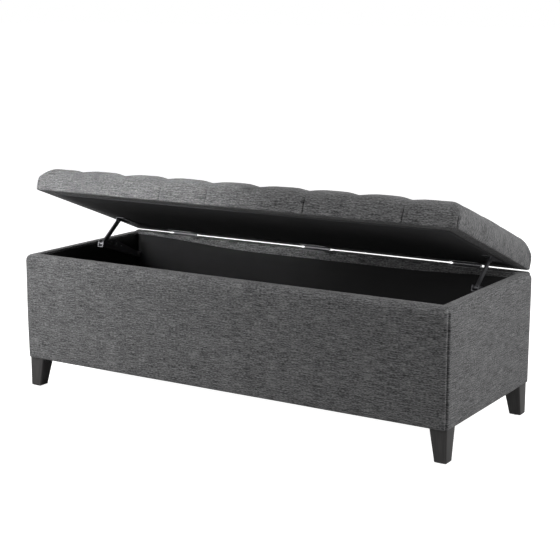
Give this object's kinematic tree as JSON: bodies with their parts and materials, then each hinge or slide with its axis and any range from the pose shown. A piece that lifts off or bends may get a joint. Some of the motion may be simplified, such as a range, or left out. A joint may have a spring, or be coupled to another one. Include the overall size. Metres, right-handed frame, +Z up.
{
  "type": "storage bench",
  "caption": "Long upholstered storage bench with a tufted, padded, rear-hinged lid, a folding stay at each end, a lined box and tapered wooden legs.",
  "frame": {"origin": "centre of the bounding box at floor level, with the lid part open as the model rests", "axes": "+X to the bench's right as seen from the front, along its length; -Y to the front; +Z up"},
  "size_m": [1.27, 0.5139, 0.6069],
  "materials": {
    "charcoal_fabric": "matte",
    "black_lining": "matte",
    "foam": "matte",
    "plywood": "matte",
    "dark_stained_wood": "satin",
    "hinge_steel": "satin",
    "stay_steel": "satin",
    "screw_steel": "satin",
    "insert_brass": "satin",
    "glide_plastic": "matte"
  },
  "bodies": {
    "box": {"front_base_rail": "plywood", "rear_base_rail": "plywood", "left_base_rail": "plywood", "right_base_rail": "plywood", "centre_batten": "plywood", "floor_panel": "plywood", "front_panel": "plywood", "rear_panel": "plywood", "left_panel": "plywood", "right_panel": "plywood", "base_screws": "screw_steel", "frame_screws": "screw_steel", "front_pad": "foam", "rear_pad": "foam", "left_pad": "foam", "right_pad": "foam", "box_cover": "charcoal_fabric", "box_lining": "black_lining", "base_dust_cover": "black_lining", "front_left_leg": "dark_stained_wood", "front_right_leg": "dark_stained_wood", "rear_left_leg": "dark_stained_wood", "rear_right_leg": "dark_stained_wood", "leg_bolts": "screw_steel", "leg_inserts": "insert_brass", "leg_glides": "glide_plastic", "left_hinge_box_leaf": "hinge_steel", "centre_hinge_box_leaf": "hinge_steel", "right_hinge_box_leaf": "hinge_steel", "hinge_pins": "hinge_steel", "hinge_box_screws": "screw_steel", "left_wall_bracket": "stay_steel", "right_wall_bracket": "stay_steel", "stay_wall_screws": "screw_steel", "stay_base_rivets": "stay_steel"},
    "lid": {"lid_board": "plywood", "lid_foam": "foam", "lid_cover": "charcoal_fabric", "lid_dust_cover": "black_lining", "left_hinge_lid_leaf": "hinge_steel", "centre_hinge_lid_leaf": "hinge_steel", "right_hinge_lid_leaf": "hinge_steel", "hinge_lid_screws": "screw_steel", "stay_lid_rivets": "stay_steel", "left_lid_bracket": "stay_steel", "right_lid_bracket": "stay_steel", "stay_lid_screws": "screw_steel"},
    "left_lower_arm": {"left_lower_arm": "stay_steel", "left_elbow_rivet": "stay_steel"},
    "left_upper_arm": {"left_upper_arm": "stay_steel"},
    "right_lower_arm": {"right_lower_arm": "stay_steel", "right_elbow_rivet": "stay_steel"},
    "right_upper_arm": {"right_upper_arm": "stay_steel"}
  },
  "joints": [
    {"name": "lid_hinge", "type": "hinge", "parent": "box", "child": "lid", "pos_m": [0, 0.24141, 0.3719], "axis": [-1, 0, 0], "range_deg": [-20.8, 55]},
    {"name": "left_lower_arm_pivot", "type": "hinge", "parent": "box", "child": "left_lower_arm", "pos_m": [-0.58, 0.16641, 0.3144], "axis": [-1, 0, 0], "range_deg": [-20.8, 55]},
    {"name": "left_elbow", "type": "hinge", "parent": "left_lower_arm", "child": "left_upper_arm", "pos_m": [-0.58, 0.01198, 0.364], "axis": [-1, 0, 0], "range_deg": [-55, 20.8]},
    {"name": "right_lower_arm_pivot", "type": "hinge", "parent": "box", "child": "right_lower_arm", "pos_m": [0.58, 0.16641, 0.3144], "axis": [-1, 0, 0], "range_deg": [-20.8, 55]},
    {"name": "right_elbow", "type": "hinge", "parent": "right_lower_arm", "child": "right_upper_arm", "pos_m": [0.58, 0.01198, 0.364], "axis": [-1, 0, 0], "range_deg": [-55, 20.8]}
  ],
  "couplings": [
    {"joint": "left_lower_arm_pivot", "follows": "lid_hinge", "ratio": 1},
    {"joint": "left_elbow", "follows": "lid_hinge", "ratio": -1},
    {"joint": "right_lower_arm_pivot", "follows": "lid_hinge", "ratio": 1},
    {"joint": "right_elbow", "follows": "lid_hinge", "ratio": -1}
  ]
}
